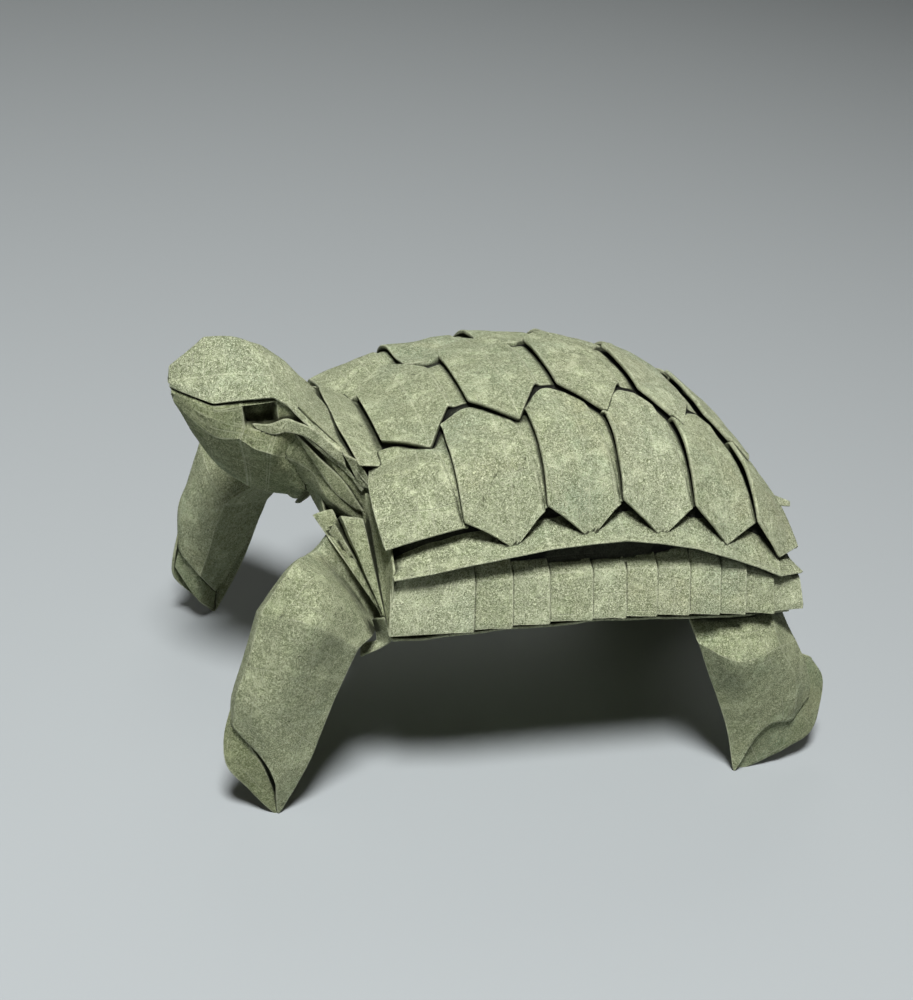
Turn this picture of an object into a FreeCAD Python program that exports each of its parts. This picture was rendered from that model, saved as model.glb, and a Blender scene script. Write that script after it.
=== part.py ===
import FreeCAD, Part
import os, math

# Folded paper turtle: one sheet, one solid.  Millimetres, X to the head, Y to the turtle's left, Z up.
V = FreeCAD.Vector

# ---- driving dimensions ------------------------------------------------------------------------
NODE = "folded_turtle"
NOSE_X, TAIL_X = 69.6, -53.8          # the two ends of the animal, before it is centred
CROWN_Z, HEAD_HALF = 75.5, 10.4       # top of the head over the soles, half width of the head
CHEST_REACH = 10.0                    # how far the chest stands before the shell
FRONT_REACH, HIND_REACH = 25.0, 20.0  # stations that the feet are measured over, from the shell's ends
SHELL_FRONT, SHELL_REAR = 36.6, -40.2 # stations of the two open ends of the shell
RIM_Z = 34.75                         # level where the carapace would reach the rim
DOME_RISE = 35.2                      # ridge height over RIM_Z at the middle
# half lengths of the ridge arch and of the rim outline: the ends they would reach past the shell's
DOME_REAR, DOME_FRONT = 4.4 - SHELL_REAR, 11.4 + SHELL_FRONT
PLAN_REAR, PLAN_FRONT = 5.4 - SHELL_REAR, 18.9 + SHELL_FRONT
RIDGE_P, SECTION_Q = 1.91, 2.34       # fullness of the ridge arch and of the cross-section
HALF_WIDTH = 34.5                     # half width of the rim at the middle
PLAN_NF, PLAN_NR = 4.0, 6.4           # fullness of the rim outline, front and rear

PLY, HEM = 0.45, 1.0                  # one folded layer as built, and a raised folded edge
WALL = 1.4                            # the layered pleats behind the scutes
INSET = 1.35                          # scute face to wall face
RIM_INSET = 2.1                       # further inset of the wall next to the rim
SINK = 0.8                            # how deep a tucked edge lies inside the wall

VERTEBRAL_FRONTS = (33.5, 19.0, 3.3, -12.2, -26.0, SHELL_REAR - 0.4)   # raised front folds of the middle row
VERTEBRAL_K = (0.27, 0.485, 0.235)    # half widths: front fold, side corner, rear crease
VERTEBRAL_TIP = 0.44                  # side corner, as a share of the scute's length
COSTAL_FRONTS = (SHELL_FRONT - 0.1, 24.4, 10.4, -3.2, -16.9, -29.6, SHELL_REAR - 0.1)  # of the side rows
COSTAL_VALLEY, COSTAL_TIP = 0.84, 0.925     # lower outline of the side rows
REAR_CREASE = 0.77                    # crease before the tucked strip, as a share of the length
EDGE_LIFT = 0.5                       # how far a raised fold stands over the dome
BULGE_FRONT, BULGE_REAR = 3.8, 0.7    # outward arch of the side scutes, front and rear

LIFT_TOP, LIFT_FALL_F, LIFT_FALL_R = 51.8, 6.3, 10.0   # free lower edge of the carapace
BAND_BOTTOM, BAND_ARCH = 35.2, 2.4    # lower edge of the rim band at its ends, rise at the middle
BAND_CREASE = 7.6                     # crease of the rim band over its lower edge
BAND_STEP = 0.65                      # step of one pleat of the rim band
BAND_SEAMS = (SHELL_FRONT - 0.6, 23.3, 16.6, 10.0, 2.2, -4.0, -9.8, -16.0, -21.9, -27.0, -33.0,
              SHELL_REAR + 0.6)
MARGIN_RIPPLE = 0.22                  # relief of the folds in the marginal strip
BELLY_GAP = 2.5                       # belly edge below the band
BELLY_SEAM = 0.7                      # half width of the slot between the belly flaps
HEAD_PLY, LEG_PLY = 0.7, 0.75         # layers of the head and of the legs


# ---- the dome ----------------------------------------------------------------------------------
def arch(u, n):
    return max(1.0 - min(abs(u), 1.0) ** n, 0.0) ** (1.0 / n)


def half_width(x):
    if x < 0:
        return HALF_WIDTH * max(arch(x / PLAN_REAR, PLAN_NR), 0.05)
    return HALF_WIDTH * arch(x / PLAN_FRONT, PLAN_NF)


def ridge(x):
    return DOME_RISE * arch(x / (DOME_REAR if x < 0 else DOME_FRONT), RIDGE_P)


def dome(x, k):
    return V(x, k * half_width(x), RIM_Z + ridge(x) * arch(k, SECTION_Q))


def normal(x, k):
    e, g = 0.25, 0.012
    xa, xb = max(x - e, -DOME_REAR + 0.01), min(x + e, DOME_FRONT - 0.01)
    ka, kb = max(k - g, -0.9995), min(k + g, 0.9995)
    n = (dome(xb, k) - dome(xa, k)).cross(dome(x, kb) - dome(x, ka))
    return n.normalize()


def over(x, k, h):
    """Point h outside the dome."""
    return dome(x, k) + normal(x, k) * h


def wall_depth(x, k):
    return INSET + RIM_INSET * abs(k) ** 8


def tucked(x, k, extra=SINK):
    """Point inside the layered wall."""
    return over(x, k, -wall_depth(x, k) - extra)


# ---- closed solids from grids ------------------------------------------------------------------
def closed(points, tris):
    s = Part.Shape()
    s.makeShapeFromMesh((points, tris), 1e-6)
    s = Part.Solid(Part.Shell(s.Faces))
    if s.Volume < 0:
        s.reverse()
    return s


def slab(top, bottom):
    """Closed slab between two grids of the same size."""
    nu, nv = len(top), len(top[0])
    pts = [p for row in top for p in row] + [p for row in bottom for p in row]
    tris = []
    m = nu * nv
    for i in range(nu - 1):
        for j in range(nv - 1):
            a, b, c, d = i * nv + j, i * nv + j + 1, (i + 1) * nv + j + 1, (i + 1) * nv + j
            if (pts[a] - pts[c]).Length <= (pts[b] - pts[d]).Length:
                tris.extend([(a, b, c), (a, c, d), (m + a, m + c, m + b), (m + a, m + d, m + c)])
            else:
                tris.extend([(a, b, d), (b, c, d), (m + a, m + d, m + b), (m + b, m + d, m + c)])
    ring = [j for j in range(nv)] + [i * nv + nv - 1 for i in range(1, nu)]
    ring += [(nu - 1) * nv + j for j in range(nv - 2, -1, -1)] + [i * nv for i in range(nu - 2, 0, -1)]
    for p, q in zip(ring, ring[1:] + ring[:1]):
        tris.extend([(q, p, m + p), (q, m + p, m + q)])
    return closed(pts, tris)


def unit(v, fallback):
    return V(v).normalize() if v.Length > 1e-9 else V(fallback)


def grid_normals(grid):
    nu, nv = len(grid), len(grid[0])
    out = []
    for i in range(nu):
        row = []
        for j in range(nv):
            n = V()
            for di, dj in ((1, 1), (-1, 1), (-1, -1), (1, -1)):
                if 0 <= i + di < nu and 0 <= j + dj < nv:
                    a = grid[i + di][j] - grid[i][j]
                    b = grid[i][j + dj] - grid[i][j]
                    c = a.cross(b) * (di * dj)
                    if c.Length > 1e-9:
                        n += c.normalize()
            row.append(unit(n, V(0, 0, 1)))
        out.append(row)
    return out


def sheet(grid, thickness, side=1.0):
    """Folded sheet whose seen face is the grid; the back face lies `thickness` (one value, or one
    per point) behind it."""
    nrm = grid_normals(grid)
    if not isinstance(thickness, list):
        thickness = [[thickness] * len(grid[0])] * len(grid)
    back = [[p - n * (t * side) for p, n, t in zip(*rows)] for rows in zip(grid, nrm, thickness)]
    return slab(grid, back)


def mirrored(s):
    return s.mirror(V(0, 0, 0), V(0, 1, 0))


def mix(a, b, t):
    return a + (b - a) * t


# ---- shell: layered wall -----------------------------------------------------------------------
def band_bottom(x):
    return BAND_BOTTOM + BAND_ARCH * (1.0 - min(abs(x + 1.0) / 38.0, 1.0) ** 2)


def belly_top(x):
    return band_bottom(x) - BELLY_GAP


def free_edge(x):
    if x > -1:
        return LIFT_TOP - LIFT_FALL_F * (abs(x + 1) / 37.0) ** 1.6
    return LIFT_TOP - LIFT_FALL_R * min(abs(x + 1) / 34.5, 1.03) ** 1.8


def layered_wall():
    n = 7
    first, last = SHELL_FRONT - 0.5, SHELL_REAR + 0.4
    xs = [first + (last - first) * i / n for i in range(n + 1)]
    ks = [-0.995, -0.91, -0.72, -0.45, -0.15]
    ks += [-k for k in reversed(ks)]
    outer, inner = [], []
    for x in xs:
        ro = [over(x, k, -wall_depth(x, k)) for k in ks]
        ri = [over(x, k, -wall_depth(x, k) - WALL) for k in ks]
        for r in (ro, ri):
            foot = [V(p.x, p.y, belly_top(x) - 0.35) for p in (r[0], r[-1])]
            r.insert(0, foot[0])
            r.append(foot[1])
        outer.append(ro)
        inner.append(ri)
    return slab(outer, inner)


# ---- shell: scutes -----------------------------------------------------------------------------
def piecewise(u, knots):
    for (a, fa), (b, fb) in zip(knots, knots[1:]):
        if u <= b:
            return fa + (fb - fa) * max(u - a, 0.0) / (b - a)
    return knots[-1][1]


def vertebral_edge(x):
    """Half width (as a share of the section) of the middle row at station x."""
    f = VERTEBRAL_FRONTS
    kf, kt, kr = VERTEBRAL_K
    if x > f[0]:
        return kf
    for a, b in zip(f, f[1:]):
        if x >= b:
            return piecewise((a - x) / (a - b), ((0, kf), (VERTEBRAL_TIP, kt), (REAR_CREASE, kr), (1, kf)))
    return kf


def vertebral(a, b):
    """One hexagonal scute of the middle row: front fold at a, next front fold at b."""
    kf, kt, kr = VERTEBRAL_K
    tip = VERTEBRAL_TIP
    last = b == VERTEBRAL_FRONTS[-1]
    # share of the length, half width, lift over the dome, thickness of the folded edge
    rows = ((0.0, kf, EDGE_LIFT, HEM), (0.2, mix(kf, kt, 0.47), 0.42, PLY), (tip, kt, 0.33, PLY),
            (0.6, mix(kr, kt, 0.52), 0.0, PLY), (REAR_CREASE, kr, -0.35, PLY),
            (1.0, kr + 0.02, -0.4, HEM) if last else (0.93, kr, None, PLY))
    grid, thick = [], []
    for s, hw, h, t in rows:
        x = a + (b - a) * s
        cols = (-1, -0.52, 0, 0.52, 1)
        grid.append([tucked(x, v * hw) if h is None else over(x, v * hw, h) for v in cols])
        edge = PLY if h is None else max(t, 0.75)
        thick.append([edge, t, t, t, edge])
    return sheet(grid, [[-t for t in r] for r in thick])


def bulge(x, k):
    amp = BULGE_REAR + (BULGE_FRONT - BULGE_REAR) * min(max((x + 8.0) / 40.0, 0.0), 1.0)
    u = (abs(k) - 0.46) / 0.46
    return amp * math.sin(math.pi * u) if 0 < u < 1 else 0.0


def costal_tip(i):
    """Place of the lower corner of side scute i, as a share of its length."""
    return 0.59 - 0.035 * (i - 1)


def costal(i):
    """One side scute: arched top under the middle row, raised front fold, V-shaped lower edge."""
    a, b = COSTAL_FRONTS[i], COSTAL_FRONTS[i + 1]
    tip = costal_tip(i)
    # share of the length at the top and at the lower edge, lift over the dome
    last = i == len(COSTAL_FRONTS) - 2
    rows = ((0.0, 0.0, EDGE_LIFT), (0.34, 0.3, 0.25), (0.58, tip, 0.05), (REAR_CREASE, 0.955, -0.3),
            (1.0, 1.01, -0.3) if last else (0.95, 1.01, None))
    grid, thick = [], []
    for s0, s1, h in rows:
        low = COSTAL_VALLEY + 0.012 if i == 0 else piecewise(
            s1, ((0, COSTAL_VALLEY), (tip, COSTAL_TIP), (1.01, COSTAL_VALLEY)))
        pts = []
        for j, t in enumerate((-0.13, 0.06, 0.5, 1.0)):
            x = a + (b - a) * mix(s0, s1, max(t, 0.0))
            top = vertebral_edge(x)
            k = top + (low - top) * t
            if h is None or j == 0:
                pts.append(tucked(x, k))
            else:
                drop = (0, -0.75, 0, 0.15)[j]
                pts.append(over(x, k, h + drop + bulge(x, k)))
        grid.append(pts)
        hem = HEM if s0 == 0 else PLY
        thick.append([PLY, hem * 0.7, hem, hem if h is None else max(hem, 0.7)])
    return sheet(grid, [[-t for t in r] for r in thick])


def collar():
    """Front strip of the shell: from under the first scute forward to its free edge over the neck."""
    edge = across(placed(head_point, ((8, 149, 9), (12, 106, 21), (14, 53, 25), (14, 0, 26))))
    ks = (0.42, 0.3, 0.15, 0, -0.15, -0.3, -0.42)
    rear = [tucked(VERTEBRAL_FRONTS[0] - 1.0, k) for k in ks]
    lifted = [over(VERTEBRAL_FRONTS[0] + 0.6, k, -0.35) for k in ks]
    return sheet([edge, [mix(a, b, 0.5) for a, b in zip(edge, lifted)], lifted, rear], PLY)


# ---- shell: rim path ---------------------------------------------------------------------------
def rim_plan(xs):
    """Points of the rim at the given stations."""
    return [(x, half_width(x)) for x in xs]


def outward(pts, i):
    a, b = pts[max(i - 1, 0)], pts[min(i + 1, len(pts) - 1)]
    d = V(a[0] - b[0], a[1] - b[1], 0)
    n = V(-d.y, d.x, 0).normalize()
    return n


def wall_at(x, z):
    """Point inside the layered wall at station x and level z."""
    lo, hi = 0.5, 0.995
    for _ in range(30):
        mid = (lo + hi) / 2
        if tucked(x, mid).z > z:
            lo = mid
        else:
            hi = mid
    return tucked(x, lo)


def marginal():
    """Strip under the side scutes whose lower edge stands free over the rim band."""
    f = COSTAL_FRONTS
    xs = [f[0], mix(f[0], f[1], 0.504)]
    for i in range(1, len(f) - 1):
        xs += [f[i], f[i] + (f[i + 1] - f[i]) * costal_tip(i)]
    xs.append(SHELL_REAR)
    pts = rim_plan(xs)
    grid = []
    for i, p in enumerate(pts):
        n = outward(pts, i)
        ripple = MARGIN_RIPPLE * (1 if i % 2 else -1)
        grid.append([tucked(p[0], 0.775), over(p[0], 0.885, -0.75 + ripple),
                     V(p[0], p[1], free_edge(p[0])) + n * (ripple - 1.35)])
    return sheet(grid, PLY, 1.0)


def band_panel(x0, x1, n0, n1):
    """One pleat of the rim band between two seams; its rear end stands out over the next."""
    grid = []
    for x, n, shift, step in ((x0, n0, 0.6, -0.5), (x1, n1, -0.6, 0.5)):
        z = band_bottom(x)
        q = V(x + shift, half_width(x), 0) + n * (BAND_STEP * step)
        top = wall_at(x, free_edge(x) - 3.0) + V(shift, 0, 0)
        grid.append([top, q + n * -0.2 + V(0, 0, z + BAND_CREASE), q + n * 0.7 + V(0, 0, z)])
    return sheet(grid, PLY, 1.0)


def rim_band():
    """Pleated band below the carapace, one flat panel after the other."""
    plan = rim_plan(BAND_SEAMS)
    ns = [outward(plan, i) for i in range(len(plan))]
    return [band_panel(BAND_SEAMS[i], BAND_SEAMS[i + 1], ns[i], ns[i + 1]) for i in range(len(plan) - 1)]


def belly_flap():
    """Lower layer, from under the band to the slot along the middle."""
    pts = rim_plan([SHELL_FRONT - 1.1, 29.3, 19.4, 8.1, -4.7, -17.3, -28.4, SHELL_REAR + 0.2])
    grid = []
    for i, p in enumerate(pts):
        edge = V(p[0], p[1], belly_top(p[0])) + outward(pts, i) * -1.2
        mid = V(edge.x, BELLY_SEAM, BAND_BOTTOM - BELLY_GAP - 1.1)
        grid.append([edge, mix(edge, mid, 0.3) + V(0, 0, -0.3), mid])
    return sheet(grid, 0.7, 1.0)


def rear_panel():
    """Folded panel that closes the rear of the shell behind the hind legs."""
    x = SHELL_REAR + 3.1
    ks = [-0.97 + 1.94 * j / 8 for j in range(9)]
    grid = []
    for t in (0.0, 0.5, 1.0):
        row = []
        for j, k in enumerate(ks):
            a = tucked(x, k, 0.42)
            b = V(x - 1.4, k / 0.97 * (half_width(x) - INSET - RIM_INSET - 0.45), belly_top(x) - 0.45)
            row.append(mix(a, b, t) + V(0.35 * (1 if j % 2 else -1) * (1 - abs(2 * t - 1)), 0, 0))
        grid.append(row)
    return sheet(grid, 0.7, -1.0)


# ---- head and neck -----------------------------------------------------------------------------
def shell_edge():
    """Level of the carapace at its front end."""
    return RIM_Z + ridge(SHELL_FRONT)


def head_point(s, w, h):
    """Percent of the way from the shell's edge to the nose, of the head's half width, and of the
    rise from the shell's edge to the crown."""
    return V(mix(SHELL_FRONT, NOSE_X, s / 100.0), HEAD_HALF * w / 100.0,
             mix(shell_edge(), CROWN_Z, h / 100.0))


def chest_point(s, w, h):
    """Percent of the chest's reach, of the rim's half width at the shell's front, and of the height
    from the belly to the shell's edge."""
    return V(SHELL_FRONT + CHEST_REACH * s / 100.0, half_width(SHELL_FRONT) * w / 100.0,
             mix(BAND_BOTTOM, shell_edge(), h / 100.0))


def front_point(s, w, h):
    """Percent of the front leg's reach, of the half width, and of the height under the band."""
    return V(SHELL_FRONT + FRONT_REACH * s / 100.0, HALF_WIDTH * w / 100.0, BAND_BOTTOM * h / 100.0)


def hind_point(s, w, h):
    """Percent of the hind leg's reach, of the half width, and of the height under the band."""
    return V(SHELL_REAR - HIND_REACH * s / 100.0, HALF_WIDTH * w / 100.0, BAND_BOTTOM * h / 100.0)


def placed(point, row):
    return [point(*p) for p in row]


def net(point, rows, thickness, side=-1.0):
    """Sheet through a net given in percent."""
    return sheet([placed(point, r) for r in rows], thickness, side)


def across(half):
    """Row from the left edge over the middle to the right edge."""
    return half + [V(p.x, -p.y, p.z) for p in reversed(half[:-1])]


# from the nose back to the root: lower edge, fold of the crown, middle of the crown
HOOD = (
    ((100, 8, 54), (100, 8, 60), (100, 0, 73)), ((92, 40, 55), (92, 19, 65), (91, 0, 87)),
    ((81, 69, 53), (84, 31, 69), (83, 0, 100)), ((66, 91, 62), (68, 48, 76), (67, 0, 99)),
    ((52, 99, 66), (50, 60, 76), (53, 0, 90)), ((44, 105, 59), (42, 67, 63), (39, 0, 72)),
    ((33, 113, 40), (31, 81, 44), (28, 0, 51)), ((23, 121, 26), (22, 96, 27), (21, 0, 35)),
    ((13, 131, 12), (13, 98, 15), (13, 0, 21)), ((3, 140, -11), (2, 106, -3), (1, 0, 1)),
    ((-9, 148, -32), (-9, 106, -19), (-9, 0, -15)))
# from the nose back: top and bottom of the eye's fold, lower edge of the cheek, side, keel
JAW = (
    ((99, 12, 49), (98, 13, 46), (98, 12, 41), (97, 7, 37), (95, 0, 32)),
    ((91, 42, 49), (91, 43, 43), (90, 40, 30), (88, 26, 14), (86, 0, 3)),
    ((81, 70, 46), (81, 72, 38), (79, 67, 19), (76, 44, -6), (73, 0, -29)),
    ((68, 88, 54), (65, 87, 41), (68, 92, 23), (62, 58, -14), (57, 8, -50)),
    ((58, 92, 57), (55, 90, 42), (60, 97, 14), (55, 64, -20), (52, 16, -51)),
    ((49, 96, 60), (46, 92, 43), (51, 102, 9), (49, 70, -22), (47, 24, -52)),
    ((46, 99, 58), (41, 98, 41), (45, 90, 3), (39, 72, -24), (33, 43, -51)),
    ((37, 99, 48), (34, 100, 34), (36, 83, 5), (32, 70, -24), (28, 48, -51)))
EYE_ROW, EYE_DEPTH = 4, 1.8           # row of the jaw in which the eye is pressed in, and how far
EYELID = (((61, 88, 36), (59, 90, 32)), ((53, 98, 37), (51, 98, 28)),
          ((45, 105, 44), (44, 105, 32)), ((40, 110, 42), (37, 111, 30)), ((32, 115, 37), (30, 115, 23)),
          ((24, 122, 26), (23, 120, 13)), ((16, 129, 15), (14, 127, 1)))
NECK_FLAP = (((16, 132, 15), (9, 142, 10)), ((12, 133, 4), (4, 142, -3)), ((8, 133, -10), (1, 142, -13)),
             ((5, 133, -19), (1, 141, -18)))
NECK_LAYER = (((37, 109, 31), (35, 107, 26)), ((25, 116, 14), (24, 114, 9)), ((14, 124, 0), (13, 122, -6)),
              ((4, 134, -21), (5, 132, -23)))
NECK_LEAF = (((39, 98, 27), (38, 96, 23)), ((28, 110, 7), (28, 103, -3)), ((14, 120, -16), (18, 113, -27)),
             ((3, 129, -45), (6, 122, -46)))
NECK_SIDE = (((38, 98, 55), (39, 94, 27), (44, 87, 2), (33, 43, -51)),
             ((27, 108, 36), (27, 98, 4), (28, 90, -15), (28, 58, -49)),
             ((15, 119, 16), (18, 110, -28), (21, 102, -37), (23, 77, -43)),
             ((4, 129, -9), (9, 117, -41), (13, 112, -48), (18, 91, -53)),
             ((-8, 138, -27), (-6, 131, -57), (-3, 123, -67), (1, 106, -72)))


def head_hood():
    """Upper layer of neck and head: an open fold from inside the shell to the nose."""
    grid = []
    for row in HOOD:
        low, fold, crown = placed(head_point, row)
        grid.append(across([low, mix(low, fold, 0.55) + V(0, 0.4, 0.2), fold, crown]))
    return sheet(grid, HEAD_PLY, 1.0)


def lower_jaw():
    """Trough under the hood, with the eye pressed into each side."""
    grid = []
    for i, row in enumerate(JAW):
        top, low, cheek, side, keel = placed(head_point, row)
        eye = mix(top, low, 0.5) - V(0, EYE_DEPTH if i == EYE_ROW else 0.0, 0)
        grid.append(across([top + V(0, -0.5, 0.6), top, eye, low, cheek, side, keel]))
    thick = [[HEAD_PLY * (0.4 if i == 0 else 1.0)] * len(row) for i, row in enumerate(grid)]
    return sheet(grid, thick, -1.0)


def neck_folds():
    """Folds laid over the side of the neck: eyelid, rounded flap, thin layer and leaf."""
    ply = PLY + 0.1
    return [net(head_point, EYELID, ply), net(head_point, NECK_FLAP, ply, 1.0),
            net(head_point, NECK_LAYER, ply), net(head_point, NECK_LEAF, ply)]


def neck_side():
    """Folded side of the neck below the hood, from the cheek to inside the shell."""
    return net(head_point, NECK_SIDE, HEAD_PLY)


# tops of the pleats of the chest, from the throat to the shell
PLEATS = ((87, 29, 49), (61, 40, 62), (48, 38, 60), (14, 57, 70), (24, 60, 92), (11, 73, 95), (-2, 72, 90),
          (1, 87, 69))
KNOT = (2, 84, -13)


def chest():
    """Pleated fan between neck, shell and front leg; every pleat runs to one knot."""
    knot, tops = chest_point(*KNOT), placed(chest_point, PLEATS)
    mid = (len(tops) - 1) / 2.0
    grid = []
    for t in (0.06, 0.5, 1.0):
        grid.append([mix(knot + V(0, (j - mid) * 0.28, (mid - j) * 0.1), p, t) for j, p in enumerate(tops)])
    return sheet(grid, PLY + 0.1, -1.0)


def throat():
    """Lower layer from the jaw down to the belly, between the two fans."""
    rows = (((100, 26, 67), (102, 0, 66)), ((84, 36, 49), (80, 0, 46)), ((44, 52, 22), (44, 0, 20)),
            ((0, 70, -1), (0, 0, -5)), ((-36, 80, -10), (-40, 0, -17)))
    grid = []
    for row in rows:
        a, c = placed(chest_point, row)
        grid.append(across([a, mix(a, c, 0.5) + V(0.5, 0, 0.1), c]))
    return sheet(grid, HEAD_PLY, -1.0)


def knot_flap():
    """Small flap folded back under the fan's knot."""
    return net(chest_point, (((-24, 94, -9), (-8, 87, -8)), ((6, 91, -27), (16, 84, -23)),
                             ((44, 84, -47), (48, 80, -42))), PLY + 0.1, 1.0)


# ---- legs and tail -----------------------------------------------------------------------------
# each row: outer rear edge, outer fold, front outer fold, front face, inner front edge
FRONT_LEG = (
    ((-1, 74, 94), (15, 61, 109), (31, 41, 121), (32, 35, 116), (25, 32, 108)),
    ((9, 87, 94), (45, 95, 126), (66, 81, 132), (61, 64, 122), (48, 49, 109)),
    ((20, 96, 94), (65, 109, 119), (88, 91, 113), (85, 74, 105), (73, 55, 92)),
    ((34, 96, 65), (76, 107, 91), (95, 94, 88), (94, 80, 81), (84, 62, 69)),
    ((49, 97, 29), (83, 104, 58), (102, 95, 69), (101, 83, 63), (92, 68, 53)),
    ((67, 98, -1), (79, 101, 33), (102, 93, 52), (102, 84, 49), (96, 71, 41)))
FRONT_FOOT = (((97, 90, 71), (98, 92, 50), (92, 94, 43), (81, 98, 30), (69, 97, 9)),
              ((100, 88, 69), (106, 88, 40), (105, 91, 30), (88, 94, 14), (68, 97, -2)))
HIND_LEG = (
    ((-101, 89, 93), (-60, 94, 96), (-24, 93, 96), (-5, 78, 93), (-10, 58, 92)),
    ((-97, 99, 84), (-68, 112, 80), (-21, 106, 83), (13, 89, 75), (14, 67, 68)),
    ((-74, 99, 57), (-49, 108, 58), (8, 101, 58), (30, 88, 58), (31, 70, 52)),
    ((-50, 99, 29), (-31, 105, 42), (15, 100, 43), (38, 89, 48), (40, 72, 42)),
    ((-33, 99, -1), (-17, 103, 28), (18, 98, 30), (41, 89, 39), (47, 75, 34)))
HIND_FOOT = (((-33, 97, 11), (-16, 101, 33), (18, 96, 35), (37, 87, 41), (37, 83, 50), (31, 81, 60)),
             ((-30, 97, -3), (22, 96, 10), (51, 90, 16), (61, 83, 27), (61, 80, 42), (42, 80, 57)))


def front_leg():
    """Leg sheet, and the layer of the foot that shows beyond its edge."""
    return [net(front_point, FRONT_LEG, LEG_PLY), net(front_point, FRONT_FOOT, LEG_PLY, 1.0)]


def hind_leg():
    return [net(hind_point, HIND_LEG, LEG_PLY, 1.0), net(hind_point, HIND_FOOT, LEG_PLY, 1.0)]


def tail():
    """Pointed roof-shaped fold from inside the rear panel to the tail's tip."""
    root, neck = SHELL_REAR + 3.8, mix(SHELL_REAR, TAIL_X, 0.31)
    base = BAND_BOTTOM
    rows = ((root, 4.2, base + 7.4, base + 9.6), (neck, 3.0, base + 5.0, base + 7.0),
            (TAIL_X, 0.5, base + 2.4, base + 3.2))
    return sheet([across([V(x, w, low), V(x, 0, top)]) for x, w, low, top in rows], PLY + 0.1, 1.0)


# ---- one solid ---------------------------------------------------------------------------------
def build():
    body = layered_wall()
    pieces = [collar(), rear_panel(), head_hood(), lower_jaw(), throat(), tail()]
    pieces += [vertebral(a, b) for a, b in zip(VERTEBRAL_FRONTS, VERTEBRAL_FRONTS[1:])]
    sided = [costal(i) for i in range(len(COSTAL_FRONTS) - 1)] + rim_band() + neck_folds()
    sided += [marginal(), belly_flap(), neck_side(), chest(), knot_flap()] + front_leg() + hind_leg()
    for s in sided:
        pieces += [s, mirrored(s)]
    return body, pieces


def main():
    os.makedirs("parts", exist_ok=True)
    body, pieces = build()
    shape = body.multiFuse(pieces)
    shape = shape.common(Part.makeBox(300, 300, 200, V(-150, -150, 0)))
    shape = shape.Solids[0] if len(shape.Solids) == 1 else shape
    shape.translate(V(-(NOSE_X + TAIL_X) / 2.0, 0, 0))
    print("solids", len(shape.Solids), "valid", shape.isValid(), shape.BoundBox)
    shape.exportStep("parts/%s.step" % NODE)


if __name__ == "__main__":
    main()
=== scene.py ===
import math

import bpy
import numpy as np
from mathutils import Matrix, Vector
from mathutils.bvhtree import BVHTree


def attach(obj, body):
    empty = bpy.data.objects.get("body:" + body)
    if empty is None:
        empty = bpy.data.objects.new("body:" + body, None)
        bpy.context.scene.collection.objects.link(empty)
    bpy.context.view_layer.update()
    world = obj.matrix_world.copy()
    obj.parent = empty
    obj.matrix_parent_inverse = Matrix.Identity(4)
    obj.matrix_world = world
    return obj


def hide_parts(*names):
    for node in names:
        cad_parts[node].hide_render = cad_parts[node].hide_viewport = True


bl_info = {
    "name": "Folded paper turtle",
    "version": (1, 0, 0),
    "blender": (4, 5, 0),
    "location": "View3D > Sidebar > Paper turtle",
    "description": "Dresses the folded turtle with mottled paper, fine folds and worn creases",
    "category": "Add Mesh",
}

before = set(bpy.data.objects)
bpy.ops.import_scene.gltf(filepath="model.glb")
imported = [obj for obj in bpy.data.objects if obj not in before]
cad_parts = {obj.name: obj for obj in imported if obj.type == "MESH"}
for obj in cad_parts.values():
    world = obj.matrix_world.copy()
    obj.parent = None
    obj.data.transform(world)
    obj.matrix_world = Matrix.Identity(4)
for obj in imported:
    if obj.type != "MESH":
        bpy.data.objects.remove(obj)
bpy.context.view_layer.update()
NODE = "folded_turtle"

# Millimetres, X to the head, Y to the turtle's left, Z up, as on the folding pattern.
NOSE_X, TAIL_X = 69.6, -53.8
CROWN_Z, HEAD_HALF = 75.5, 10.4
CHEST_REACH, FRONT_REACH, HIND_REACH = 10.0, 25.0, 20.0
CENTRE_X = (NOSE_X + TAIL_X) / 2
RIM_Z, DOME_RISE = 34.75, 35.2
DOME_REAR, DOME_FRONT = 44.6, 48.0
RIDGE_P, SECTION_Q = 1.91, 2.34
HALF_WIDTH = 34.5
PLAN_FRONT, PLAN_REAR, PLAN_NF, PLAN_NR = 55.5, 45.6, 4.0, 6.4
SHELL_FRONT, SHELL_REAR = 36.6, -40.2
INSET, RIM_INSET = 1.35, 2.1
VERTEBRAL_FRONTS = (33.5, 19.0, 3.3, -12.2, -26.0, -40.6)
VERTEBRAL_K = (0.27, 0.485, 0.235)
VERTEBRAL_TIP = 0.44
COSTAL_FRONTS = (36.5, 24.4, 10.4, -3.2, -16.9, -29.6, -40.3)
COSTAL_VALLEY, COSTAL_TIP = 0.84, 0.925
REAR_CREASE = 0.77
BAND_SEAMS = (36.0, 23.3, 16.6, 10.0, 2.2, -4.0, -9.8, -16.0, -21.9, -27.0, -33.0, -39.6)
BAND_BOTTOM, BAND_ARCH, BAND_CREASE, BAND_UPPER, BAND_LAP = 35.2, 2.4, 7.6, 4.5, 0.6
LEAN_START, LEAN_RISE = 9.5, 4.7
TOP_GAP = 0.05
LIFT_TOP, LIFT_FALL_F, LIFT_FALL_R = 51.8, 6.3, 10.0
LIFT_RUN_F, LIFT_RUN_R, BAND_RUN, MID_X = 37.0, 34.5, 38.0, -1.0  # runs from the middle of the rim
BELLY_GAP, BELLY_SEAM = 2.5, 0.7
FLAP_PLY, LEG_PLY = 0.5, 0.55


# ---- the dome ------------------------------------------------------
def arch(u, n):
    """Superellipse arch: the n-th root of one minus |u| to the power n."""
    return np.maximum(1.0 - np.minimum(np.abs(u), 1.0) ** n, 0.0) ** (1.0 / n)


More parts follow.
